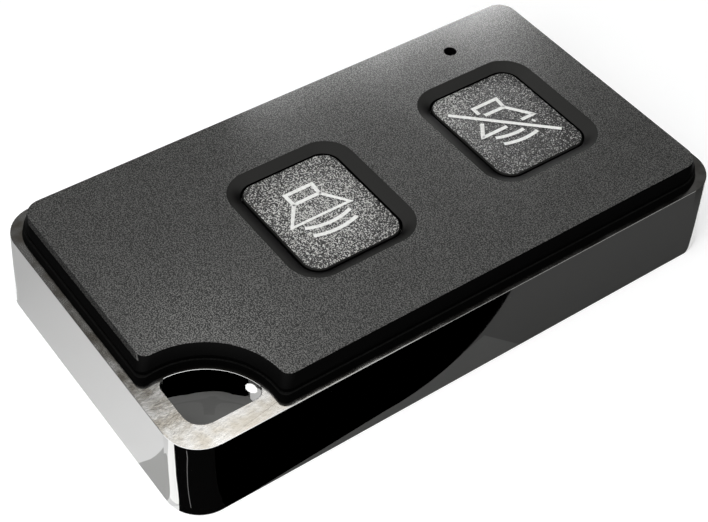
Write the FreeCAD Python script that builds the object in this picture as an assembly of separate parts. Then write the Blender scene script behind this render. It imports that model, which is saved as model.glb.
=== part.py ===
import FreeCAD, Part
import math
import os

# Keyring remote control lying on its back, in millimetres.
# +X is the width, +Y the length towards the indicator end, +Z up through the keys.
# The origin is the middle of the back. The key-ring eye is in the +X, -Y corner.

# Metal frame: the width and length are those of the ledge round the black case
frame_width = 34.3
frame_length = 63.2
frame_height = 8.9
frame_flare = 0.4
frame_corner_radius = 3.6
ledge_side = 0.45
ledge_end = 0.8
ledge_under_rim = 0.9

# Key-ring corner: one centre for the case's cut-out and for the eye's curved side
ring_centre_from_side = 1.9
ring_centre_from_end = 2.95
cutout_radius = 7.2
eye_radius = 6.95
eye_wall = 2.4
eye_corner_radius = 1.9
eye_tip_radius = 1.0

# Black case
rim_corner_radius = 4.2
rim_tip_radius = 0.8
rim_height = 0.8
rim_slope = 0.2
shell_step = 0.4
shell_slope = 0.73
shell_slope_height = 0.9
shell_corner_radius = 1.85
shell_tip_radius = 0.95
shell_height = 1.3
shell_thickness = 1.5
skirt_thickness = 1.0
shelf_width = 0.9
fit_gap = 0.05
least_corner_radius = 0.5

# Back plate and screws
cover_thickness = 1.3
cover_seat = 0.5
boss_radius = 1.9
boss_wall_gap = 0.35
boss_clearance = 0.2
screw_radius = 0.8
screw_length = 5.4
screw_head_radius = 1.55
screw_head_height = 0.75
screw_recess = 0.1
screw_head_gap = 0.1
screw_slot_width = 0.4
screw_slot_depth = 0.45
pilot_gap = 0.05
pilot_spare = 0.6

# Keys
key_width = 13.35
key_length = 11.0
key_corner_radius = 1.8
key_edge_break = 0.15
key_sink = 0.45
key_gap = 0.18
key_travel = 0.3
key_flange = 0.6
key_flange_thickness = 0.6
key_flange_play = 0.15
key_wall = 1.1
key_top_thickness = 0.9
key_stem = 2.4
sound_key_y = -5.8
mute_key_y = 17.35
surround_width = 16.05
surround_length = 14.2
surround_corner_radius = 3.3
surround_depth = 0.55

# Indicator
pinhole_radius = 0.7
indicator_side_margin = 2.8
indicator_end_margin = 9.45
led_length = 3.2
led_width = 2.0
led_base_height = 0.8
led_lens_radius = 0.9
led_lens_height = 0.7

# Circuit board and press switches
board_thickness = 1.0
board_gap = 0.2
switch_size = 6.2
switch_height = 2.5
switch_floor = 0.4
switch_well_radius = 2.35
switch_cover_size = 6.0
switch_cover_thickness = 0.2
plunger_radius = 1.6
plunger_gap = 0.12
plunger_flange = 0.5
plunger_flange_thickness = 0.32
plunger_play = 0.05
plunger_spare = 0.08
dome_size = 3.1
dome_rise = 0.25
dome_crown = 1.8
dome_thickness = 0.1

# Coin cell and its contacts
cell_radius = 10.0
cell_clearance = 0.2
cell_cap_radius = 8.6
cell_step = 0.25
cell_y = 3.0
contact_thickness = 0.25
contact_size = 6.0
contact_slot = 0.4
contact_root = 0.8
contact_fingers = 3
clip_width = 6.0
clip_thickness = 0.25
clip_side_gap = 0.3
clip_foot = 1.4

# Chips and small parts on the board
chip_length = 5.0
chip_width = 4.0
chip_height = 1.2
chip_lead_count = 4
chip_lead_width = 0.4
chip_lead_reach = 0.9
chip_knee_reach = 0.45
chip_lead_height = 0.6
chip_lead_thickness = 0.2
chip_spacing = 8.5
chip_shift = -2.3
chip_end_margin = 7.4
resonator_length = 5.0
resonator_width = 3.2
resonator_height = 1.1
resonator_corner = 0.6
resonator_side_margin = 3.3
resonator_chip_gap = 2.0
small_part_length = 1.6
small_part_width = 0.8
small_part_pitch = 1.6
small_part_count = 6
small_part_side_margin = 1.3
small_part_column_gap = 1.1
capacitor_height = 0.8
resistor_height = 0.45
antenna_strip = 0.9
antenna_thickness = 0.3
antenna_reach = 16.0
antenna_width = 5.0
antenna_lift = 0.3
antenna_side_margin = 1.2

# Heights that follow from the sizes above
half_width = frame_width / 2
half_length = frame_length / 2
rim_top = frame_height + rim_height
shell_top = rim_top + shell_height
shell_under = shell_top - shell_thickness
key_top = shell_top - key_sink
flange_top = shell_under - key_flange_play
flange_under = flange_top - key_flange_thickness
plunger_top = flange_under - plunger_play
board_top = plunger_top - switch_height
board_under = board_top - board_thickness
flange_low = board_top + switch_floor + dome_rise + key_travel + plunger_spare
housing_top = flange_low + plunger_flange_thickness + plunger_play
ring_centre = FreeCAD.Vector(half_width - ring_centre_from_side, ring_centre_from_end - half_length, 0)

cell_height = board_under - contact_thickness - clip_thickness - cover_thickness - cell_clearance

# Insets from the rim's outline of the walls that nest inside one another
frame_hole_inset = ledge_under_rim
cover_inset = ledge_under_rim - cover_seat
skirt_inset = frame_hole_inset + fit_gap
cavity_inset = skirt_inset + skirt_thickness
shelf_inset = cavity_inset + shelf_width
board_inset = cavity_inset + board_gap
board_edge_x = half_width - ledge_side - board_inset
board_edge_y = half_length - ledge_end - board_inset
indicator_x = indicator_side_margin - board_edge_x
indicator_y = board_edge_y - indicator_end_margin


def point(x, y, z=0.0):
    return FreeCAD.Vector(x, y, z)


def arc_about(centre, radius, start, end):
    """Arc in the plan view from one angle to another, both in degrees."""
    middle = (start + end) / 2
    spots = [
        centre + point(radius * math.cos(math.radians(a)), radius * math.sin(math.radians(a)))
        for a in (start, middle, end)
    ]
    return Part.Arc(*spots).toShape()


def angle_of(centre, spot):
    """Direction of a spot from a centre, in degrees."""
    return math.degrees(math.atan2(spot.y - centre.y, spot.x - centre.x))


def join(parts):
    """Closed face through arcs given in order, with straight runs between them."""
    edges = []
    for i, edge in enumerate(parts):
        edges.append(edge)
        here = edge.lastVertex().Point
        there = parts[(i + 1) % len(parts)].firstVertex().Point
        if here.distanceToPoint(there) > 1e-6:
            edges.append(Part.makeLine(here, there))
    return Part.Face(Part.Wire(edges))


def rounded_rectangle(width, length, radius, x=0.0, y=0.0):
    """Face of a rounded rectangle about a centre."""
    dx = width / 2 - radius
    dy = length / 2 - radius
    corners = [(dx, -dy, -90), (dx, dy, 0), (-dx, dy, 90), (-dx, -dy, 180)]
    return join([arc_about(point(x + cx, y + cy), radius, a, a + 90) for cx, cy, a in corners])


def case_outline(inset, tip_radius, corner_radius=None):
    """Face of the case's plan: a rounded rectangle with the key-ring corner cut out by an arc.

    The inset runs inwards from the black rim's foot, so that every wall follows the same curve.
    The corners keep to one centre with the rim's unless they are given a radius of their own.
    """
    x1 = half_width - ledge_side - inset
    y1 = half_length - ledge_end - inset
    corner = corner_radius or max(rim_corner_radius - inset, least_corner_radius)
    radius = cutout_radius + inset
    reach = radius + tip_radius
    side_tip = point(
        x1 - tip_radius,
        ring_centre.y + math.sqrt(reach ** 2 - (x1 - tip_radius - ring_centre.x) ** 2),
    )
    end_tip = point(
        ring_centre.x - math.sqrt(reach ** 2 - (tip_radius - y1 - ring_centre.y) ** 2),
        tip_radius - y1,
    )
    side_angle = angle_of(ring_centre, side_tip)
    end_angle = angle_of(ring_centre, end_tip) % 360
    return join([
        arc_about(side_tip, tip_radius, side_angle - 180, 0),
        arc_about(point(x1 - corner, y1 - corner), corner, 0, 90),
        arc_about(point(corner - x1, y1 - corner), corner, 90, 180),
        arc_about(point(corner - x1, corner - y1), corner, 180, 270),
        arc_about(end_tip, tip_radius, -90, end_angle - 180),
        arc_about(ring_centre, radius, end_angle, side_angle),
    ])


def raise_face(face, bottom, top):
    """Straight wall or plate on a face of the plan, between two heights."""
    body = face.extrude(point(0, 0, top - bottom))
    body.translate(point(0, 0, bottom))
    return body


def between(lower, bottom, upper, top):
    """Solid with straight sloping walls between two faces of the plan at two heights."""
    wires = [lower.OuterWire.copy(), upper.OuterWire.copy()]
    wires[0].translate(point(0, 0, bottom))
    wires[1].translate(point(0, 0, top))
    return Part.makeLoft(wires, True, True)


def cylinder(radius, bottom, top, x=0.0, y=0.0):
    return Part.makeCylinder(radius, top - bottom, point(x, y, bottom))


def block(length, width, bottom, top, x=0.0, y=0.0):
    """Box about a centre in the plan."""
    return Part.makeBox(length, width, top - bottom, point(x - length / 2, y - width / 2, bottom))


def edges_at(shape, height):
    """Edges that lie flat at a height."""
    return [e for e in shape.Edges if all(abs(v.Z - height) < 1e-6 for v in e.Vertexes)]


def boss_places():
    """The two screw bosses stand in opposite corners, clear of the key-ring corner."""
    x = half_width - ledge_side - cavity_inset - boss_wall_gap - boss_radius
    y = half_length - ledge_end - cavity_inset - boss_wall_gap - boss_radius
    return [(x, y), (-x, -y)]


def chrome_frame():
    """Cast ring: flared outer wall, straight bore, a seat for the back plate and the eye."""
    foot = rounded_rectangle(frame_width + 2 * frame_flare, frame_length + 2 * frame_flare, frame_corner_radius)
    ledge = rounded_rectangle(frame_width, frame_length, frame_corner_radius)
    body = between(foot, 0, ledge, frame_height)
    body = body.cut(raise_face(case_outline(frame_hole_inset, rim_tip_radius), 0, frame_height))
    body = body.cut(raise_face(case_outline(cover_inset - fit_gap, rim_tip_radius), 0, cover_thickness))
    return body.cut(raise_face(eye_face(), 0, frame_height))


def eye_face():
    """Plan of the key-ring eye: two straight sides and an arc facing the case."""
    x1 = half_width - eye_wall
    y0 = eye_wall - half_length
    inner = eye_radius - eye_tip_radius
    side = point(
        x1 - eye_tip_radius,
        ring_centre.y + math.sqrt(inner ** 2 - (x1 - eye_tip_radius - ring_centre.x) ** 2),
    )
    end = point(
        ring_centre.x - math.sqrt(inner ** 2 - (y0 + eye_tip_radius - ring_centre.y) ** 2),
        y0 + eye_tip_radius,
    )
    side_angle = angle_of(ring_centre, side)
    end_angle = angle_of(ring_centre, end) % 360
    return join([
        arc_about(point(x1 - eye_corner_radius, y0 + eye_corner_radius), eye_corner_radius, -90, 0),
        arc_about(side, eye_tip_radius, 0, side_angle),
        arc_about(ring_centre, eye_radius, side_angle, end_angle),
        arc_about(end, eye_tip_radius, end_angle, 270),
    ])


def upper_shell():
    """Top cover: sloping edge, key openings in dished surrounds, pinhole and screw bosses."""
    foot = case_outline(shell_step, shell_tip_radius)
    brow = case_outline(shell_step + shell_slope, shell_tip_radius, shell_corner_radius)
    slope_foot = shell_top - shell_slope_height
    body = raise_face(foot, rim_top, slope_foot).fuse(between(foot, slope_foot, brow, shell_top))
    spigot = raise_face(case_outline(cavity_inset + fit_gap, rim_tip_radius), shell_under, rim_top)
    body = body.fuse(spigot).removeSplitter()
    for x, y in boss_places():
        boss = cylinder(boss_radius, cover_thickness, shell_under, x, y)
        pilot_top = screw_head_top() + screw_length + pilot_spare
        boss = boss.cut(cylinder(screw_radius + pilot_gap, cover_thickness, pilot_top, x, y))
        body = body.fuse(boss)
    body = body.cut(cylinder(pinhole_radius, shell_under, shell_top, indicator_x, indicator_y))
    for y in (sound_key_y, mute_key_y):
        body = body.cut(key_surround(y))
    return body


def key_surround(y):
    """What is cut for one key: the sloping surround and the opening below it."""
    opening = rounded_rectangle(
        key_width + 2 * key_gap, key_length + 2 * key_gap, key_corner_radius + key_gap, 0, y)
    brim = rounded_rectangle(surround_width, surround_length, surround_corner_radius, 0, y)
    low = shell_top - surround_depth
    return between(opening, low, brim, shell_top).fuse(raise_face(opening, shell_under, low))


def inner_case():
    """Black carrier: the tapered rim that shows above the frame, and a skirt with the board's shelf."""
    rim_foot = case_outline(0, rim_tip_radius)
    rim_brow = case_outline(rim_slope, rim_tip_radius)
    body = between(rim_foot, frame_height, rim_brow, rim_top)
    body = body.fuse(raise_face(case_outline(skirt_inset, rim_tip_radius), cover_thickness, frame_height))
    body = body.cut(raise_face(case_outline(cavity_inset, rim_tip_radius), board_under, rim_top))
    body = body.cut(raise_face(case_outline(shelf_inset, rim_tip_radius), cover_thickness, board_under))
    for x, y in boss_places():
        body = body.cut(cylinder(boss_radius + boss_clearance, cover_thickness, rim_top, x, y))
    return body.removeSplitter()


def rear_cover():
    """Back plate let into the frame, counterbored for its screws."""
    body = raise_face(case_outline(cover_inset, rim_tip_radius), 0, cover_thickness)
    for x, y in boss_places():
        body = body.cut(cylinder(screw_head_radius + screw_head_gap, 0, screw_head_top(), x, y))
        body = body.cut(cylinder(screw_radius + pilot_gap, screw_head_top(), cover_thickness, x, y))
    return body


def screw_head_top():
    """Height at which a screw's head ends and its shank begins."""
    return screw_recess + screw_head_height


def case_screws():
    """Cheese-head screws with a cross slot, driven from the back."""
    screws = []
    for x, y in boss_places():
        head = cylinder(screw_head_radius, screw_recess, screw_head_top(), x, y)
        shank = cylinder(screw_radius, screw_head_top(), screw_head_top() + screw_length, x, y)
        body = head.fuse(shank)
        for length, width in ((screw_head_radius, screw_slot_width), (screw_slot_width, screw_head_radius)):
            body = body.cut(block(length, width, 0, screw_recess + screw_slot_depth, x, y))
        screws.append(body)
    return Part.makeCompound(screws)


def key_cap(y):
    """Hollow cap with a flange that stops under the cover and a stem down to its switch."""
    face = rounded_rectangle(key_width, key_length, key_corner_radius, 0, y)
    body = raise_face(face, flange_under, key_top)
    body = body.makeChamfer(key_edge_break, edges_at(body, key_top))
    flange_width = key_width + 2 * key_flange
    flange_length = key_length + 2 * key_flange
    body = body.fuse(block(flange_width, flange_length, flange_under, flange_top, 0, y))
    pocket_top = key_top - key_top_thickness
    pocket_width = key_width - 2 * key_wall
    pocket_length = key_length - 2 * key_wall
    body = body.cut(block(pocket_width, pocket_length, flange_under, pocket_top, 0, y))
    return body.fuse(block(key_stem, key_stem, plunger_top, pocket_top, 0, y))


def circuit_board():
    """Board that fills the case, cut away round the screw bosses."""
    body = raise_face(case_outline(board_inset, rim_tip_radius), board_under, board_top)
    for x, y in boss_places():
        body = body.cut(cylinder(boss_radius + boss_clearance, board_under, board_top, x, y))
    return max(body.Solids, key=lambda solid: solid.Volume)


def switch_housing(y):
    """Square base with a round well for the snap dome."""
    body = block(switch_size, switch_size, board_top, housing_top, 0, y)
    return body.cut(cylinder(switch_well_radius, board_top + switch_floor, housing_top, 0, y))


def switch_cover(y):
    """Thin steel plate that holds the plunger in."""
    top = housing_top + switch_cover_thickness
    body = block(switch_cover_size, switch_cover_size, housing_top, top, 0, y)
    return body.cut(cylinder(plunger_radius + plunger_gap, housing_top, top, 0, y))


def switch_plunger(y):
    """Round button with a flange caught under the plate."""
    flange_high = housing_top - plunger_play
    body = cylinder(plunger_radius + plunger_flange, flange_low, flange_high, 0, y)
    return body.fuse(cylinder(plunger_radius, flange_high, plunger_top, 0, y))


def square_cup(foot, crown, bottom, top, y):
    """Solid with four sloping sides between a square foot and a square crown."""
    levels = []
    for size, z in ((foot, bottom), (crown, top)):
        half = size / 2
        corners = [point(cx * half, y + cy * half, z) for cx, cy in ((-1, -1), (1, -1), (1, 1), (-1, 1))]
        levels.append(Part.makePolygon(corners + corners[:1]))
    return Part.makeLoft(levels, True, True)


def switch_dome(y):
    """Square snap dome: its four corners stand on the well's floor and carry the flat crown."""
    base = board_top + switch_floor
    outer = square_cup(dome_size, dome_crown, base, base + dome_rise, y)
    thinner = 2 * dome_thickness
    crown_under = base + dome_rise - dome_thickness
    return outer.cut(square_cup(dome_size - thinner, dome_crown - thinner, base, crown_under, y))


def coin_cell():
    """Flat round cell: a can with a smaller cap on the side that faces the board."""
    cap_top = board_under - contact_thickness
    can_top = cap_top - cell_step
    bottom = cap_top - cell_height
    can = cylinder(cell_radius, bottom, can_top, 0, cell_y)
    return can.fuse(cylinder(cell_cap_radius, can_top, cap_top, 0, cell_y))


def battery_clip():
    """Positive strap: passes under the cell and is bent up to two feet on the board."""
    cell_under = board_under - contact_thickness - cell_height
    low = cell_under - clip_thickness
    inner = cell_radius + clip_side_gap
    outer = inner + clip_thickness
    foot = outer + clip_foot
    strap = block(2 * outer, clip_width, low, cell_under, 0, cell_y)
    for side in (-1, 1):
        leg_x = side * (inner + outer) / 2
        foot_x = side * (inner + foot) / 2
        strap = strap.fuse(block(clip_thickness, clip_width, low, board_under, leg_x, cell_y))
        strap = strap.fuse(
            block(foot - inner, clip_width, board_under - clip_thickness, board_under, foot_x, cell_y))
    return strap.removeSplitter()


def battery_contact():
    """Negative contact under the board, slit into three fingers."""
    low = board_under - contact_thickness
    body = block(contact_size, contact_size, low, board_under, 0, cell_y)
    for side in (-1, 1):
        slot_x = side * contact_size / (2 * contact_fingers)
        slot_y = cell_y + contact_root / 2
        body = body.cut(block(contact_slot, contact_size - contact_root, low, board_under, slot_x, slot_y))
    return body


def indicator_led():
    """Small lamp under the pinhole: a base and a round lens."""
    lens_foot = board_top + led_base_height
    base = block(led_length, led_width, board_top, lens_foot, indicator_x, indicator_y)
    lens_top = lens_foot + led_lens_height
    return base.fuse(cylinder(led_lens_radius, lens_foot, lens_top, indicator_x, indicator_y))


def chip_y():
    """Row of the two chips, near the key-ring end of the board."""
    return chip_end_margin - board_edge_y


def chip(x):
    """Chip with a row of bent leads down each long side."""
    y = chip_y()
    body = block(chip_length, chip_width, board_top + chip_lead_thickness, board_top + chip_height, x, y)
    pitch = chip_length / chip_lead_count
    for side in (-1, 1):
        for i in range(chip_lead_count):
            lead_x = x - chip_length / 2 + pitch * (i + 0.5)
            knee_y = y + side * (chip_width + chip_knee_reach) / 2
            foot_y = y + side * (chip_width + chip_lead_reach) / 2
            shoulder = board_top + chip_lead_height
            sole = board_top + chip_lead_thickness
            knee = block(chip_lead_width, chip_knee_reach, board_top, shoulder, lead_x, knee_y)
            foot = block(chip_lead_width, chip_lead_reach, board_top, sole, lead_x, foot_y)
            body = body.fuse(knee.fuse(foot))
    return body.removeSplitter()


def resonator():
    """Metal can that sets the clock."""
    x = resonator_side_margin + resonator_length / 2 - board_edge_x
    y = chip_y() + chip_width / 2 + chip_lead_reach + resonator_chip_gap + resonator_width / 2
    can = rounded_rectangle(resonator_length, resonator_width, resonator_corner, x, y)
    return raise_face(can, board_top, board_top + resonator_height)


def small_parts(column, height):
    """Column of small two-ended parts beside the cell, counted inwards from the board's edge."""
    x = board_edge_x - small_part_side_margin - small_part_length / 2
    x -= column * (small_part_length + small_part_column_gap)
    first = cell_y - small_part_pitch * (small_part_count - 1) / 2
    places = [first + i * small_part_pitch for i in range(small_part_count)]
    parts = [
        block(small_part_length, small_part_width, board_top, board_top + height, x, y)
        for y in places
    ]
    return Part.makeCompound(parts)


def antenna_loop():
    """Stamped copper hairpin that stands on its two feet along the board's -X side."""
    low = board_top + antenna_lift
    x = antenna_side_margin + antenna_width / 2 - board_edge_x
    outer = block(antenna_width, antenna_reach, low, low + antenna_thickness, x, cell_y)
    inner_length = antenna_reach - antenna_strip
    inner = block(antenna_width - 2 * antenna_strip, inner_length, low, low + antenna_thickness,
                  x, cell_y - antenna_strip / 2)
    body = outer.cut(inner)
    foot_y = cell_y - (antenna_reach - antenna_thickness) / 2
    for side in (-1, 1):
        foot_x = x + side * (antenna_width - antenna_strip) / 2
        body = body.fuse(block(antenna_strip, antenna_thickness, board_top, low, foot_x, foot_y))
    return body.removeSplitter()


nodes = {
    "chrome_frame": chrome_frame(),
    "upper_shell": upper_shell(),
    "inner_case": inner_case(),
    "rear_cover": rear_cover(),
    "case_screws": case_screws(),
    "sound_key": key_cap(sound_key_y),
    "mute_key": key_cap(mute_key_y),
    "circuit_board": circuit_board(),
    "coin_cell": coin_cell(),
    "battery_clip": battery_clip(),
    "battery_contact": battery_contact(),
    "indicator_led": indicator_led(),
    "transmitter_chip": chip(chip_shift + chip_spacing / 2),
    "encoder_chip": chip(chip_shift - chip_spacing / 2),
    "resonator": resonator(),
    "chip_capacitors": small_parts(1, capacitor_height),
    "chip_resistors": small_parts(0, resistor_height),
    "antenna_loop": antenna_loop(),
}
for key, key_y in (("sound", sound_key_y), ("mute", mute_key_y)):
    nodes[key + "_switch_housing"] = switch_housing(key_y)
    nodes[key + "_switch_cover"] = switch_cover(key_y)
    nodes[key + "_switch_plunger"] = switch_plunger(key_y)
    nodes[key + "_switch_dome"] = switch_dome(key_y)

os.makedirs("parts", exist_ok=True)
for name, shape in nodes.items():
    shape.exportStep("parts/" + name + ".step")
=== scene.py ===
import bpy
import bmesh
import math
from mathutils import Matrix, Vector


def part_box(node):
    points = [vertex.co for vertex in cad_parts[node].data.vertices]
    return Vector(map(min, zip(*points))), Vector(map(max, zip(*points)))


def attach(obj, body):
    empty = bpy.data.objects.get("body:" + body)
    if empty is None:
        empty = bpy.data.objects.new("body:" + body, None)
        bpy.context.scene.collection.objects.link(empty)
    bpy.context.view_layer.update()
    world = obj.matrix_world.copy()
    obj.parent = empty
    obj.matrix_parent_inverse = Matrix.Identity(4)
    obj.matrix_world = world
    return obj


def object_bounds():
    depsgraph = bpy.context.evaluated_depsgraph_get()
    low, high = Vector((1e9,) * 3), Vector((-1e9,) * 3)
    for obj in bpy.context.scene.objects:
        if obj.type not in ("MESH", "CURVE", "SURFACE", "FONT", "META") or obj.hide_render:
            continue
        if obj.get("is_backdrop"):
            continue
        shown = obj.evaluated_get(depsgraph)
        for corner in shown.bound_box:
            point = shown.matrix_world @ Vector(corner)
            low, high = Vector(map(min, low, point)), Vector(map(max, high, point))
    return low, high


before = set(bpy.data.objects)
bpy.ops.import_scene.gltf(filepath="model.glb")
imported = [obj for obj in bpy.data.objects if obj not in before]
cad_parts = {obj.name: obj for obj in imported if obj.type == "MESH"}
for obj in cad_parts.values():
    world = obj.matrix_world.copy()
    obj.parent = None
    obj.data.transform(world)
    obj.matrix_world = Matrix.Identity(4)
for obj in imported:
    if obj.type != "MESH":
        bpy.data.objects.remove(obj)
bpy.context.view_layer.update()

# Camera: above the key-ring corner, looking along the remote's diagonal.
# Its place and direction are those from which the photograph was taken.
mm = 0.001
camera_place = Vector((85.933, -68.911, 115.333)) * mm
camera_right = Vector((0.58448, 0.81047, 0.03901)).normalized()
camera_ahead = Vector((-0.54306, 0.42645, -0.72335)).normalized()
camera_data = bpy.data.cameras.new("camera")
camera_data.sensor_width = 36.0
camera_data.lens = 79.18
camera_data.clip_start = 0.01
camera = bpy.data.objects.new("camera", camera_data)
bpy.context.scene.collection.objects.link(camera)
bpy.context.scene.camera = camera
camera_above = camera_right.cross(camera_ahead)
turn = Matrix((camera_right, camera_above, -camera_ahead)).transposed().to_4x4()
camera.matrix_world = Matrix.Translation(camera_place) @ turn
bpy.context.scene.view_settings.view_transform = "Standard"

# Floor: a plain white table that keeps the remote's soft shadow.
# It shows a little lighter to the camera and in reflections, so that it runs out to white.
table_tone = 0.8
table_glow = 0.34
table_half = 1.5


def new_material(name):
    """Material with a Principled shader; gives back the material, its nodes, links and shader."""
    material = bpy.data.materials.new(name)
    material.use_nodes = True
    tree = material.node_tree
    return material, tree.nodes, tree.links, tree.nodes["Principled BSDF"]


def fill(links, socket, value):
    """Gives a socket its value: a number, a colour of three numbers or another node's output."""
    if isinstance(value, tuple):
        socket.default_value = (*value, 1)
    elif isinstance(value, (int, float)):
        socket.default_value = value
    else:
        links.new(value, socket)


def calculate(nodes, links, operation, first, second=0.0):
    """Math node; each side is a number or another node's output."""
    node = nodes.new("ShaderNodeMath")
    node.operation = operation
    fill(links, node.inputs[0], first)
    fill(links, node.inputs[1], second)
    return node.outputs[0]


def new_object(name, shape, material):
    """Links a finished bmesh to the scene as an object with one material."""
    data = bpy.data.meshes.new(name)
    shape.to_mesh(data)
    shape.free()
    data.materials.append(material)
    made = bpy.data.objects.new(name, data)
    bpy.context.scene.collection.objects.link(made)
    return made


material, nodes, links, shader = new_material("table_white")
shader.inputs["Base Color"].default_value = (table_tone, table_tone, table_tone, 1)
shader.inputs["Roughness"].default_value = 0.9
shader.inputs["Specular IOR Level"].default_value = 0.0
shader.inputs["Emission Color"].default_value = (1, 1, 1, 1)
path = nodes.new("ShaderNodeLightPath")
mirrored = calculate(nodes, links, "ADD", path.outputs["Is Glossy Ray"], path.outputs["Is Transmission Ray"])
seen = calculate(nodes, links, "MAXIMUM", path.outputs["Is Camera Ray"], mirrored)
links.new(calculate(nodes, links, "MULTIPLY", seen, table_glow), shader.inputs["Emission Strength"])
shape = bmesh.new()
bmesh.ops.create_grid(shape, x_segments=8, y_segments=8, size=table_half)
new_object("table", shape, material)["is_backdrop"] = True

# Cards: matt papers laid round the remote where only the chrome sees them. They paint its dark and
# pale reflections and the shade in them. They lie on one another, so each has one of three heights; all sizes
# are millimetres.
under, between, over = 0.04, 0.05, 0.06
wall_foot = 17.55
wall_start = -28.0
paper_edge = 60


def show_in_reflections(made):
    """Makes a card part of the stage, seen by reflections alone."""
    made.visible_camera = False
    made.visible_diffuse = False
    made.visible_shadow = False
    made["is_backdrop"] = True


def card(name, outline, material, height):
    """Flat card on the table, cut to an outline of points."""
    shape = bmesh.new()
    shape.faces.new([shape.verts.new((x * mm, y * mm, height * mm)) for x, y in outline])
    show_in_reflections(new_object(name, shape, material))


def plain_paper(name, tone, glow=0.0):
    """Matt paper of one grey tone, which glows where glow is set: painted light, as it is no lamp."""
    material, nodes, links, shader = new_material(name)
    shader.inputs["Base Color"].default_value = (tone, tone, tone * 0.985, 1)
    shader.inputs["Roughness"].default_value = 1.0
    shader.inputs["Specular IOR Level"].default_value = 0.0
    shader.inputs["Emission Color"].default_value = (1, 1, 1, 1)
    shader.inputs["Emission Strength"].default_value = glow
    return material


# Beside the long side, painted shade and reflections for the chrome: dark grey paper for the shaded floor, a
# slate slip near the corner for a paler band at the wall's foot, and over them black paper for the dark
# reflection, whose edge leaves the wall slowly at first and then in a curve.
black_paper = plain_paper("paper_black", 0.0)
side_outline = [(wall_foot, wall_start), (paper_edge, wall_start), (paper_edge, 80),
                (18.6, 80), (17.9, 38), (wall_foot, 30)]
card("side_card", side_outline, plain_paper("paper_dark_grey", 0.068), under)
near_outline = [(wall_foot, wall_start), (18.9, wall_start), (18.9, -4), (20.6, 4), (wall_foot, 6)]
card("near_slip", near_outline, plain_paper("paper_slate", 0.1), between)
shade_edge_x, shade_lean, shade_bend, bend_start = 18.35, 0.05, 0.0135, -10
side_edge = []
for y in range(-28, 13, 2):
    past = y - bend_start
    side_edge.append((shade_edge_x + shade_bend * max(0, past) ** 2 + shade_lean * min(0, past), y))
card("side_shade", [*side_edge, (paper_edge, 50), (paper_edge, wall_start)], black_paper, over)


# Before the short side: pale paper, painted darker evenly towards the end that is far from the camera,
# as painted shade in the chrome's reflection of the table.
def place_of(nodes, links):
    """X, Y and Z of each spot in its own object."""
    place = nodes.new("ShaderNodeTexCoord")
    split = nodes.new("ShaderNodeSeparateXYZ")
    links.new(place.outputs["Object"], split.inputs[0])
    return split.outputs


def spread(nodes, links, value, low, high, start=0.0, end=1.0, course="SMOOTHSTEP"):
    """Maps a value from the span start to end to the span low to high."""
    node = nodes.new("ShaderNodeMapRange")
    node.interpolation_type = course
    node.inputs["From Min"].default_value = start
    node.inputs["From Max"].default_value = end
    node.inputs["To Min"].default_value = low
    node.inputs["To Max"].default_value = high
    links.new(value, node.inputs["Value"])
    return node.outputs["Result"]


material, nodes, links, shader = new_material("paper_shaded")
shader.inputs["Roughness"].default_value = 1.0
shader.inputs["Specular IOR Level"].default_value = 0.0
paper_tone = spread(nodes, links, place_of(nodes, links)["X"], 0.57, 0.86, -18 * mm, 9 * mm, "LINEAR")
grey = nodes.new("ShaderNodeCombineColor")
for channel in grey.inputs:
    links.new(paper_tone, channel)
links.new(grey.outputs["Color"], shader.inputs["Base Color"])
card("end_card", [(-40, -31.9), (-40, -60), (16, -60), (16, -31.9)], material, under)

# Round the near corner: a grey slip painting the remote's shadow in the chrome, a strip of white that glows as
# a painted highlight, then black paper for a dark reflection.
# The strip's two long edges are also the edges of its neighbours.
stripe_left = [(13.9, -32.2), (13.0, -33.2), (11.85, -34.85), (10.4, -37.5), (6, -60)]
stripe_right = [(12.8, -60), (14.0, -41.0), (14.2, -38.5), (14.4, -35.7), (14.9, -33.4), (15.3, -32.0)]
card("white_slip", [*stripe_left, *stripe_right], plain_paper("paper_white", 0.98, 0.3), between)
corner_outline = [*stripe_right, (wall_foot, wall_start), (paper_edge, wall_start), (paper_edge, -60)]
card("corner_card", corner_outline, plain_paper("paper_corner", 0.003), between)
grey_left = [(9.05, -32.0), (9.2, -33.2), (9.1, -33.75), (8.86, -34.44), (8.6, -34.9),
             (8.96, -36.4), (9.54, -37.9)]
grey_outline = [*grey_left, *reversed(stripe_left[:4]), (14.0, -32.0)]
card("grey_slip", grey_outline, plain_paper("paper_grey", 0.47), between)


# Painted line: one faint glowing line, a painted reflection seen in the chrome alone, hung upright a hair's
# breadth before the round near corner.
# It is hung there because the curved chrome spreads a line on the table too far.
def hung_card(name, first_edge, second_edge, material):
    """Upright card between two edges, each a list of points."""
    shape = bmesh.new()
    rows = [[shape.verts.new((x * mm, y * mm, z * mm)) for x, y, z in pair]
            for pair in zip(first_edge, second_edge)]
    for here, there in zip(rows, rows[1:]):
        shape.faces.new((here[0], there[0], there[1], here[1]))
    show_in_reflections(new_object(name, shape, material))


half_line_width = 0.03
line_points = [(16.054, -31.0, 8.46), (16.144, -30.997, 7.57), (16.152, -31.102, 6.23), (16.187, -31.184, 4.89),
          (16.25, -31.243, 3.54), (16.337, -31.27, 2.32), (16.452, -31.272, 1.1), (16.55, -31.256, 0.2)]
hung_card("painted_line",
          [(x - half_line_width, y - half_line_width, z) for x, y, z in line_points],
          [(x + half_line_width, y + half_line_width, z) for x, y, z in line_points],
          plain_paper("paper_dim", 0.1, 0.16))

# Inside the key-ring eye, painted shade and light for the chrome to reflect: grey papers on the table, with a
# darker streak, paint the shaded floor in the hole, and hung close to its round wall a black strip with a wavy
# lower edge paints shade, a bright glowing slip a painted glint and a dim glowing one a painted glow.
strip_radius, slip_radius, strip_top = 6.65, 6.72, 8.85


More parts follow.
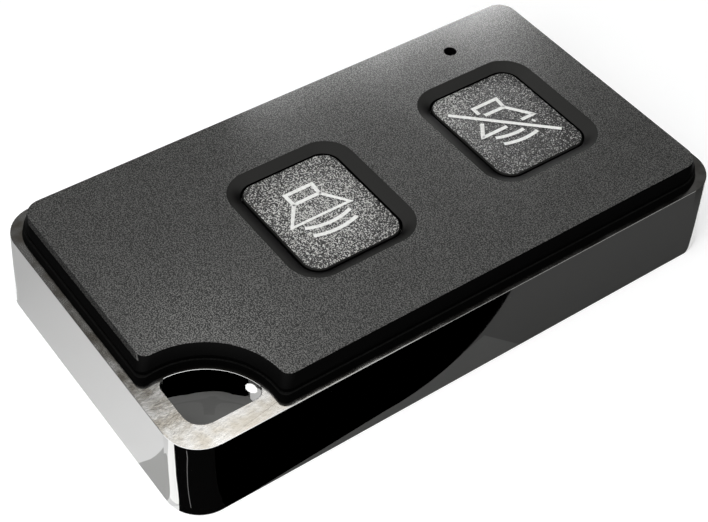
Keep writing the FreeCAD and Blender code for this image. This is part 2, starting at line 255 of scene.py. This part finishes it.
def by_eye_wall(bearing, radius):
    """Point at a bearing round the middle of the cover's cut-out."""
    angle = math.radians(bearing)
    return 15.25 + radius * math.cos(angle), -28.65 + radius * math.sin(angle)


card("eye_card", [(16, -30.2), (16, -20), (6, -20), (6, -30.2)], plain_paper("paper_eye", 0.42), under)
streak_outline = [(13.1, -27.6), (11.83, -26.7), (10.34, -25.75),
                  (10.63, -25.25), (11.89, -26.45), (12.95, -27.7)]
card("eye_streak", streak_outline, plain_paper("paper_streak", 0.36), over)
wavy_edge = [(176.3, 5.75), (168, 5.5), (160, 5.3), (152, 5.42), (146, 5.5), (139, 5.6), (133, 5.65),
             (127, 5.55), (121, 5.75), (117, 6.0), (114.5, 6.4)]
hung_card("eye_shade",
          [(*by_eye_wall(bearing, strip_radius), z) for bearing, z in wavy_edge],
          [(*by_eye_wall(bearing, strip_radius), strip_top) for bearing, z in wavy_edge],
          black_paper)
glint_slip = [(116.8, 7.15, 7.7), (115, 6.95, 8.05), (112, 6.95, 8.3), (109, 7.2, 8.35), (106.6, 7.6, 8.15)]
hung_card("eye_glint",
          [(*by_eye_wall(bearing, slip_radius), low) for bearing, low, high in glint_slip],
          [(*by_eye_wall(bearing, slip_radius), high) for bearing, low, high in glint_slip],
          plain_paper("paper_glint", 0.5, 1.3))
hung_card("eye_glow",
          [(12.6, -22.6, 5.9), (12.85, -22.5, 5.7), (13.15, -22.42, 5.9), (13.4, -22.35, 6.4)],
          [(12.6, -22.6, 7.2), (12.85, -22.5, 7.4), (13.15, -22.42, 7.8), (13.4, -22.35, 8.1)],
          plain_paper("paper_glow", 0.3, 0.5))


# Light: a large soft lamp overhead and a second from the front, in a dim room. Three strips low
# behind the far side brighten the cover towards that edge, and a small lamp its near corner.
def lamp(name, place, size, power, tilt=0.0, bearing=0.0):
    """Soft rectangular lamp; place and size in metres, tilt from straight down and bearing in degrees."""
    data = bpy.data.lights.new(name, "AREA")
    data.shape = "RECTANGLE"
    data.size, data.size_y = size
    data.energy = power
    made = bpy.data.objects.new(name, data)
    bpy.context.scene.collection.objects.link(made)
    made.location = place
    made.rotation_euler = (0, math.radians(tilt), math.radians(bearing))
    made.visible_camera = False
    return made


room_light = 0.08
lamp("overhead_lamp", (-0.045, -0.08, 0.6), (0.69, 0.74), 2.31)
lamp("front_lamp", (0.25, -0.4330127, 0.5), (0.6, 0.6), 3.4, tilt=45, bearing=-60)
small_lamps = [
    lamp("strip_lamp", (-0.03, 0.045, 0.015), (0.01, 0.02), 0.006, tilt=60, bearing=180),
    lamp("second_strip_lamp", (-0.024, 0.020, 0.014), (0.006, 0.04), 0.0046, tilt=60, bearing=180),
    lamp("third_strip_lamp", (-0.022, 0.030, 0.013), (0.004, 0.03), 0.0022, tilt=60, bearing=180),
    lamp("corner_lamp", (0.010, -0.026, 0.021), (0.012, 0.012), 0.0011),
]
# The small lamps shine on the cover and keys alone, not on the table or the chrome.
lit_parts = bpy.data.collections.new("lit_by_strips")
for node in ("upper_shell", "sound_key", "mute_key"):
    lit_parts.objects.link(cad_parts[node])
for made in small_lamps:
    made.light_linking.receiver_collection = lit_parts
world = bpy.data.worlds.new("world")
bpy.context.scene.world = world
world.use_nodes = True
world.node_tree.nodes["Background"].inputs["Color"].default_value = (1, 1, 1, 1)
world.node_tree.nodes["Background"].inputs["Strength"].default_value = room_light


# Chrome frame: a zinc casting whose flared walls are plated mirror bright.
# The flat ledge and the eye's rim are left satin, with a faint mottle from the casting.
def dress(node, material, edge=0.0):
    """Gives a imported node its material, joins its facets and softens its real edges by some millimetres."""
    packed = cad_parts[node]
    packed.data.materials.clear()
    packed.data.materials.append(material)
    weld = packed.modifiers.new("weld", "WELD")
    weld.merge_threshold = 0.001 * mm
    if edge:
        bevel = packed.modifiers.new("edge", "BEVEL")
        bevel.limit_method = "ANGLE"
        bevel.angle_limit = math.radians(28)
        bevel.width = edge * mm
        bevel.segments = 2


def noise_at(nodes, links, size, detail=2.0, roughness=0.5, stretch=None):
    """Noise texture in the object's own place; size in millimetres, longer where stretch is under 1."""
    place = nodes.new("ShaderNodeTexCoord").outputs["Object"]
    if stretch:
        along = nodes.new("ShaderNodeMapping")
        along.inputs["Scale"].default_value = stretch
        links.new(place, along.inputs["Vector"])
        place = along.outputs["Vector"]
    noise = nodes.new("ShaderNodeTexNoise")
    noise.inputs["Scale"].default_value = 1.0 / (size * mm)
    noise.inputs["Detail"].default_value = detail
    noise.inputs["Roughness"].default_value = roughness
    links.new(place, noise.inputs["Vector"])
    return noise.outputs["Fac"]


def blend(nodes, links, factor, first, second, kind="RGBA"):
    """Mixes two colours, or of kind FLOAT two numbers; either may be another node's output."""
    node = nodes.new("ShaderNodeMix")
    node.data_type = kind
    links.new(factor, node.inputs["Factor"])
    fill(links, node.inputs["A"], first)
    fill(links, node.inputs["B"], second)
    return node.outputs["Result"]


def bump(nodes, links, height, depth, shader):
    """Bump from a height of 0 to 1; depth in millimetres."""
    node = nodes.new("ShaderNodeBump")
    node.inputs["Distance"].default_value = depth * mm
    links.new(height, node.inputs["Height"])
    links.new(node.outputs["Normal"], shader.inputs["Normal"])


def direction_of(nodes, links):
    """X, Y and Z of the direction that each face looks in."""
    normal = nodes.new("ShaderNodeNewGeometry")
    split = nodes.new("ShaderNodeSeparateXYZ")
    links.new(normal.outputs["Normal"], split.inputs[0])
    return split.outputs


def facing_up(nodes, links, start, end):
    """1 on faces that look straight up, 0 on walls, with a soft change between."""
    return spread(nodes, links, direction_of(nodes, links)["Z"], 0.0, 1.0, start, end)


# Satin with a mottle and brownish tint of its own, painted paler near the key-ring corner as a painted sheen,
# and plainer along the rest.
sheen_satin_dark, sheen_satin_light = (0.58, 0.54, 0.47), (0.86, 0.85, 0.82)
plain_dark, plain_light = (0.43, 0.415, 0.385), (0.60, 0.59, 0.565)
wall_colour, dimmed_brim_colour = (0.70, 0.70, 0.695), (0.36, 0.36, 0.35)

material, nodes, links, shader = new_material("frame_chrome")
shader.inputs["Metallic"].default_value = 1.0
lengthwise = place_of(nodes, links)["Y"]
flat = facing_up(nodes, links, 0.93, 0.99)
mottle = noise_at(nodes, links, 2.2, 3.0)
fine = noise_at(nodes, links, 0.35, 2.0)
patches = spread(nodes, links, mottle, 0.0, 1.0, 0.35, 0.66)
sheen_satin = blend(nodes, links, patches, sheen_satin_dark, sheen_satin_light)
plain = blend(nodes, links, patches, plain_dark, plain_light)
sheen_fade = spread(nodes, links, lengthwise, 0.0, 1.0, -28 * mm, -14 * mm)
satin = blend(nodes, links, sheen_fade, sheen_satin, plain)
# Painted shade: the ledge's outer edge keeps its chrome colour at the key-ring corner and is painted dull
# along the rest, to dim its highlight there.
edge_dimming = spread(nodes, links, lengthwise, 0.0, 1.0, -27 * mm, -17 * mm)
dimmed_brim = calculate(nodes, links, "MULTIPLY", facing_up(nodes, links, 0.1, 0.3), edge_dimming)
wall_tone = blend(nodes, links, dimmed_brim, wall_colour, dimmed_brim_colour)
links.new(blend(nodes, links, flat, wall_tone, satin), shader.inputs["Base Color"])
satin_dullness = spread(nodes, links, mottle, 0.115, 0.165, 0.3, 0.7)
wall_dullness = spread(nodes, links, fine, 0.035, 0.06, 0.3, 0.7)
dullness = blend(nodes, links, flat, wall_dullness, satin_dullness, "FLOAT")
links.new(dullness, shader.inputs["Roughness"])
bump(nodes, links, calculate(nodes, links, "MULTIPLY", fine, flat), 0.004, shader)
dress("chrome_frame", material, edge=0.05)

# Black case: cover, inner rim and back plate, injection-moulded in stiff black plastic. The
# cover's top is spark-eroded to a fine dull grain; walls and key surrounds are moulded smooth.
dish_x, dish_y, dish_z = (-9, 9), (-14, 26), (10.5, 10.95)
end_grain_y, end_grain_z = -29.6, 10.66
wall_black, slope_black = (0.0015, 0.0015, 0.0015), (0.003, 0.003, 0.003)
# Tones of the dished surrounds: painted shade and painted light on their slopes.
dish_deep, dish_shallow, lit_slope_tone = (0.001, 0.001, 0.001), (0.018, 0.018, 0.017), (0.027, 0.027, 0.026)
speck_level = 0.53
fade_reach = 0.1


def where_all(nodes, links, first, *others):
    """1 where every one of some masks is 1, else less."""
    for other in others:
        first = calculate(nodes, links, "MULTIPLY", first, other)
    return first


def within(nodes, links, value, span):
    """1 where a value lies between two lengths in millimetres, else 0."""
    low, high = span
    return where_all(nodes, links,
                     calculate(nodes, links, "GREATER_THAN", value, low * mm),
                     calculate(nodes, links, "LESS_THAN", value, high * mm))


def black_plastic(name, grain_size, grain_depth, rough, dark, light, shine=0.5, crisp=0.11, fade=None):
    """Black plastic: specks of light on dark where it looks up, smoother on slopes, black on walls."""
    material, nodes, links, shader = new_material(name)
    place = place_of(nodes, links)
    facing = direction_of(nodes, links)
    flat = facing_up(nodes, links, 0.93, 0.99)
    sloping = facing_up(nodes, links, 0.45, 0.92)
    coarse = noise_at(nodes, links, grain_size, 1.0, 0.6)
    grain = coarse
    # Painted sheen: where fade is under 1, fewer pale specks show, so the key is painted darker away from its
    # lit part.
    if fade:
        lack = calculate(nodes, links, "SUBTRACT", fade(nodes, links, place), 1.0)
        grain = calculate(nodes, links, "ADD", coarse, calculate(nodes, links, "MULTIPLY", lack, fade_reach))
    speck = spread(nodes, links, grain, 0.0, 1.0, speck_level - crisp, speck_level + crisp)
    grained = blend(nodes, links, speck, (dark, dark, dark * 0.97), (light, light, light * 0.96))
    # The dished surrounds carry painted light and shade: slopes facing the light are painted paler, those
    # turned from it darker, and all are painted darkest next to the keys, as shade in the gap.
    dish = where_all(nodes, links,
                     within(nodes, links, place["X"], dish_x),
                     within(nodes, links, place["Y"], dish_y))
    height = spread(nodes, links, place["Z"], 0.0, 1.0, dish_z[0] * mm, dish_z[1] * mm)
    lean = calculate(nodes, links, "SUBTRACT", facing["X"], facing["Y"])
    front = spread(nodes, links, lean, 0.0, 1.0, -0.25, 0.25)
    shaded_slope_tone = blend(nodes, links, height, dish_deep, dish_shallow)
    slope_tone = blend(nodes, links, dish, slope_black, blend(nodes, links, front, shaded_slope_tone, lit_slope_tone))
    smooth = blend(nodes, links, sloping, wall_black, slope_tone)
    # Across the key-ring end the grain runs on over the upper part of the cover's edge.
    end = where_all(nodes, links,
                    calculate(nodes, links, "LESS_THAN", facing["Y"], -0.6),
                    sloping,
                    calculate(nodes, links, "LESS_THAN", place["Y"], end_grain_y * mm),
                    calculate(nodes, links, "GREATER_THAN", place["Z"], end_grain_z * mm))
    flat = calculate(nodes, links, "MAXIMUM", flat, end)
    links.new(blend(nodes, links, flat, smooth, grained), shader.inputs["Base Color"])
    cloud = noise_at(nodes, links, 9.0, 2.0)
    top_rough = spread(nodes, links, cloud, rough - 0.03, rough + 0.03, 0.3, 0.7)
    links.new(blend(nodes, links, flat, 0.45, top_rough, "FLOAT"), shader.inputs["Roughness"])
    links.new(blend(nodes, links, flat, 0.008, shine, "FLOAT"), shader.inputs["Specular IOR Level"])
    bump(nodes, links, calculate(nodes, links, "MULTIPLY", coarse, flat), grain_depth, shader)
    return material


cover_black = black_plastic("shell_black", grain_size=0.122, grain_depth=0.03, rough=0.34,
                            dark=0.005, light=0.124, crisp=0.085)
case_black = black_plastic("case_black", grain_size=0.16, grain_depth=0.01, rough=0.45,
                           dark=0.003, light=0.006, shine=0.06)
dress("upper_shell", cover_black, edge=0.04)
dress("inner_case", case_black, edge=0.04)
dress("rear_cover", case_black, edge=0.05)

# Keys: loose caps of the same black plastic with a coarser, sparkling grain up to their edges.
# The sound key's middle and the mute key's left corner are painted paler than the rest, a painted sheen, and
# the mute key's copy is painted darker than the sound key's, as shade.
sound_key_y = -5.8


def painted_sheen_middle(nodes, links, place):
    """1 in the middle of the sound key, less towards its edges."""
    lengthwise = calculate(nodes, links, "SUBTRACT", place["Y"], sound_key_y * mm)
    squared = calculate(nodes, links, "ADD",
                        calculate(nodes, links, "MULTIPLY", place["X"], place["X"]),
                        calculate(nodes, links, "MULTIPLY", lengthwise, lengthwise))
    distance = calculate(nodes, links, "SQRT", squared)
    return spread(nodes, links, distance, 1.0, 0.5, 1.5 * mm, 7.5 * mm)


def painted_sheen_corner(nodes, links, place):
    """0.9 at the mute key's left corner, less towards its right one."""
    across = calculate(nodes, links, "ADD", place["X"], place["Y"])
    return spread(nodes, links, across, 0.9, 0.13, 8 * mm, 14.5 * mm)


sound_black = black_plastic("sound_key_black", grain_size=0.128, grain_depth=0.10, rough=0.36,
                            dark=0.001, light=0.56, crisp=0.05, fade=painted_sheen_middle)
mute_black = black_plastic("mute_key_black", grain_size=0.128, grain_depth=0.10, rough=0.36,
                           dark=0.001, light=0.42, shine=0.3, crisp=0.05, fade=painted_sheen_corner)
dress("sound_key", sound_black, edge=0.04)
dress("mute_key", mute_black, edge=0.04)

# Printed signs: white ink, pad-printed a few hundredths of a millimetre thick on each key.
# One key shows a loudspeaker, the other the same loudspeaker struck out.
ink_width, ink_height, ink_slope = 0.42, 0.03, 0.05
slash = [(-4.09, -4.4), (3.87, 4.1)]
slash_gap = 0.62


def bow(first, middle, last, steps=14):
    """Points of the arc through three points of the plan."""
    (ax, ay), (bx, by), (cx, cy) = first, middle, last
    a2, b2, c2 = ax * ax + ay * ay, bx * bx + by * by, cx * cx + cy * cy
    twice_area = 2 * (ax * (by - cy) + bx * (cy - ay) + cx * (ay - by))
    x = (a2 * (by - cy) + b2 * (cy - ay) + c2 * (ay - by)) / twice_area
    y = (a2 * (cx - bx) + b2 * (ax - cx) + c2 * (bx - ax)) / twice_area
    radius = math.hypot(ax - x, ay - y)
    start = math.atan2(ay - y, ax - x)
    sweep = (math.atan2(cy - y, cx - x) - start + math.pi) % (2 * math.pi) - math.pi
    angles = [start + sweep * i / steps for i in range(steps + 1)]
    return [(x + radius * math.cos(t), y + radius * math.sin(t)) for t in angles]


def stroke(shape, line, closed, centre, base):
    """Adds one inked line: a low ribbon with mitred corners and sloping sides."""
    points = [Vector(p) for p in line]
    count = len(points)
    flat_part = 1 - 2 * ink_slope / ink_width
    rows = []
    for i, p in enumerate(points):
        before = points[i - 1] if closed or i else None
        after = points[(i + 1) % count] if closed or i < count - 1 else None
        into = (p - before).normalized() if before else (after - p).normalized()
        out = (after - p).normalized() if after else into
        side = Vector((-(into + out).y, (into + out).x)).normalized()
        reach = ink_width / 2 / max(0.6, side.dot(Vector((-into.y, into.x))))
        row = []
        for offset, height in ((-1, 0), (-flat_part, ink_height), (flat_part, ink_height), (1, 0)):
            spot = p + side * reach * offset
            x, y = centre[0] + spot.x, centre[1] + spot.y
            row.append(shape.verts.new((x * mm, y * mm, base + height * mm)))
        rows.append(row)
    for i in range(count if closed else count - 1):
        here, there = rows[i], rows[(i + 1) % count]
        for j in range(3):
            shape.faces.new((here[j], there[j], there[j + 1], here[j + 1]))
    if not closed:
        shape.faces.new(rows[0])
        shape.faces.new(list(reversed(rows[-1])))


def clear_of(line, start, end, gap):
    """Cuts a line into the runs that stay a gap away from the stroke between two points."""
    start, end = Vector(start), Vector(end)
    across = Vector((start.y - end.y, end.x - start.x)).normalized()
    runs, run = [], []
    for a, b in zip(line, line[1:]):
        a, b = Vector(a), Vector(b)
        steps = max(2, int((b - a).length / 0.1))
        for i in range(steps + 1):
            spot = a.lerp(b, i / steps)
            if abs((spot - start).dot(across)) > gap:
                run.append(tuple(spot))
            elif run:
                runs.append(run)
                run = []
    return [r for r in runs + [run] if len(r) > 1]


def without_repeats(line):
    """Drops points that lie on the one before them."""
    kept = line[:1]
    for spot in line[1:]:
        if math.dist(spot, kept[-1]) > 0.01:
            kept.append(spot)
    return kept


ink_white, nodes, links, shader = new_material("ink_white")
patchy = noise_at(nodes, links, 0.3, 3.0)
coverage = spread(nodes, links, patchy, 0.0, 1.0, 0.3, 0.6)
links.new(blend(nodes, links, coverage, (0.8, 0.8, 0.775), (0.92, 0.92, 0.905)), shader.inputs["Base Color"])
shader.inputs["Roughness"].default_value = 0.45
bump(nodes, links, patchy, 0.01, shader)

for node, body in (("sound_key", "sound_button"), ("mute_key", "mute_button")):
    low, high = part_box(node)
    centre = ((low.x + high.x) / 2 / mm, (low.y + high.y) / 2 / mm)
    shape = bmesh.new()
    if node == "sound_key":
        stroke(shape, [(-3.46, -1.83), (-3.48, 1.3), (-2.0, 1.2), (-1.98, -1.8)], True, centre, high.z)
        runs = [
            [(-2.0, 1.2), (0.55, 3.05), (0.53, -3.7), (-1.98, -1.8)],
            bow((1.25, -2.73), (1.83, -0.21), (1.39, 2.42)),
            bow((2.5, -2.6), (2.95, -0.29), (2.56, 2.38)),
        ]
    else:
        lines = [
            [(-1.97, 1.27), (-3.43, 1.42), (-3.43, -1.62), (-2.03, -1.63), (-1.97, 1.27), (0.54, 3.15),
             (0.54, -3.54), (-2.03, -1.63)],
            bow((1.28, -2.48), (1.78, -0.2), (1.3, 2.62)),
            bow((2.44, -2.34), (2.9, -0.1), (2.5, 2.5)),
        ]
        runs = [slash]
        for line in lines:
            runs += [without_repeats(run) for run in clear_of(line, *slash, slash_gap)]
    for run in runs:
        stroke(shape, run, False, centre, high.z)
    sign = new_object(node + "_sign", shape, ink_white)
    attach(sign, body)


# Case screws: two cheese-head screws of blackened steel.
# They are turned up from the back into the cover's bosses, and hold the whole case together.
def metal(name, grain, dark, light, rough, depth=0.006, stretch=None):
    """Bare metal whose grain may run along one way; gives back the material."""
    material, nodes, links, shader = new_material(name)
    shader.inputs["Metallic"].default_value = 1.0
    noise = noise_at(nodes, links, grain, 3.0, stretch=stretch)
    tone = spread(nodes, links, noise, 0.0, 1.0, 0.3, 0.7)
    links.new(blend(nodes, links, tone, dark, light), shader.inputs["Base Color"])
    links.new(spread(nodes, links, noise, rough - 0.06, rough + 0.06, 0.3, 0.7), shader.inputs["Roughness"])
    bump(nodes, links, noise, depth, shader)
    return material


screw_steel = metal("screw_steel", 0.4, (0.2, 0.2, 0.21), (0.34, 0.34, 0.35), rough=0.34)
dress("case_screws", screw_steel, edge=0.05)

# Circuit board: a sheet of glass-fibre laminate cut to the case's outline.
# Its two faces are lacquered green; its sawn edges are bare and straw-coloured.
material, nodes, links, shader = new_material("board_green")
lacquer = noise_at(nodes, links, 1.4, 3.0)
fibre = noise_at(nodes, links, 0.12, 2.0)
lacquer_tone = spread(nodes, links, lacquer, 0.0, 1.0, 0.35, 0.65)
green = blend(nodes, links, lacquer_tone, (0.02, 0.13, 0.05), (0.035, 0.2, 0.08))
straw = blend(nodes, links, fibre, (0.34, 0.32, 0.18), (0.5, 0.47, 0.3))
level = calculate(nodes, links, "ABSOLUTE", direction_of(nodes, links)["Z"])
face = calculate(nodes, links, "GREATER_THAN", level, 0.5)
links.new(blend(nodes, links, face, straw, green), shader.inputs["Base Color"])
links.new(spread(nodes, links, lacquer, 0.25, 0.4, 0.3, 0.7), shader.inputs["Roughness"])
bump(nodes, links, fibre, 0.01, shader)
dress("circuit_board", material)

# Coin cell and its two springs: a nickel-plated steel can, held to the board by a bent clip
# above and pressed by a sprung tongue below, both of rolled nickel-plated strip.
cell_steel = metal("cell_steel", 0.5, (0.6, 0.6, 0.58), (0.76, 0.76, 0.74), rough=0.24)
rolled_strip = metal("contact_nickel", 0.25, (0.52, 0.5, 0.45), (0.7, 0.68, 0.62),
                     rough=0.28, depth=0.004, stretch=(0.1, 1, 1))
dress("coin_cell", cell_steel, edge=0.05)
dress("battery_clip", rolled_strip)
dress("battery_contact", rolled_strip)

# Indicator: a small red lamp cast in clear resin.
# It is soldered to the board and shines out of the pinhole.
material, nodes, links, shader = new_material("led_clear")
haze = noise_at(nodes, links, 0.3, 2.0)
links.new(blend(nodes, links, haze, (0.7, 0.1, 0.08), (0.85, 0.2, 0.15)), shader.inputs["Base Color"])
links.new(spread(nodes, links, haze, 0.08, 0.2, 0.3, 0.7), shader.inputs["Roughness"])
shader.inputs["Transmission Weight"].default_value = 0.5
bump(nodes, links, haze, 0.005, shader)
dress("indicator_led", material)


# Chips: two black epoxy packages soldered to the board.
# One encodes the key that is pressed, the other transmits it.
def resin(name, grain, dark, light, rough, depth):
    """Dull moulded or fired stuff with a fine grain; gives back the material."""
    material, nodes, links, shader = new_material(name)
    noise = noise_at(nodes, links, grain, 3.0)
    tone = spread(nodes, links, noise, 0.0, 1.0, 0.3, 0.7)
    links.new(blend(nodes, links, tone, dark, light), shader.inputs["Base Color"])
    links.new(spread(nodes, links, noise, rough - 0.08, rough + 0.08, 0.3, 0.7), shader.inputs["Roughness"])
    bump(nodes, links, noise, depth, shader)
    return material


chip_black = resin("chip_black", 0.12, (0.012, 0.012, 0.013), (0.03, 0.03, 0.031), rough=0.6, depth=0.01)
dress("encoder_chip", chip_black)
dress("transmitter_chip", chip_black)

# Small parts of the radio: the resonator's drawn steel can, fired ceramic capacitors and film
# resistors, all soldered to the board, and the copper loop that serves as the antenna.
can_steel = metal("resonator_can", 0.4, (0.6, 0.59, 0.55), (0.74, 0.73, 0.7),
                  rough=0.26, depth=0.004, stretch=(1, 0.15, 1))
ceramic = resin("capacitor_brown", 0.2, (0.24, 0.15, 0.08), (0.36, 0.24, 0.14), rough=0.5, depth=0.008)
film = resin("resistor_black", 0.2, (0.01, 0.01, 0.012), (0.03, 0.03, 0.033), rough=0.45, depth=0.006)
copper = metal("antenna_copper", 0.5, (0.6, 0.3, 0.18), (0.8, 0.46, 0.3), rough=0.3)
dress("resonator", can_steel)
dress("chip_capacitors", ceramic)
dress("chip_resistors", film)
dress("antenna_loop", copper)

# Switches: one under each key, soldered to the board. Each has a moulded housing, a stamped
# steel cover over it, a moulded plunger and a snap dome of spring steel.
switch_black = resin("switch_black", 0.1, (0.015, 0.015, 0.015), (0.035, 0.035, 0.035), rough=0.5, depth=0.006)
switch_steel = metal("switch_steel", 0.2, (0.5, 0.5, 0.49), (0.66, 0.66, 0.64),
                     rough=0.3, depth=0.004, stretch=(1, 0.12, 1))
dome_steel = metal("dome_steel", 0.2, (0.6, 0.59, 0.56), (0.75, 0.74, 0.71), rough=0.2, depth=0.003)
for key in ("sound", "mute"):
    dress(key + "_switch_housing", switch_black)
    dress(key + "_switch_cover", switch_steel)
    dress(key + "_switch_plunger", switch_black)
    dress(key + "_switch_dome", dome_steel)

low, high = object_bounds()
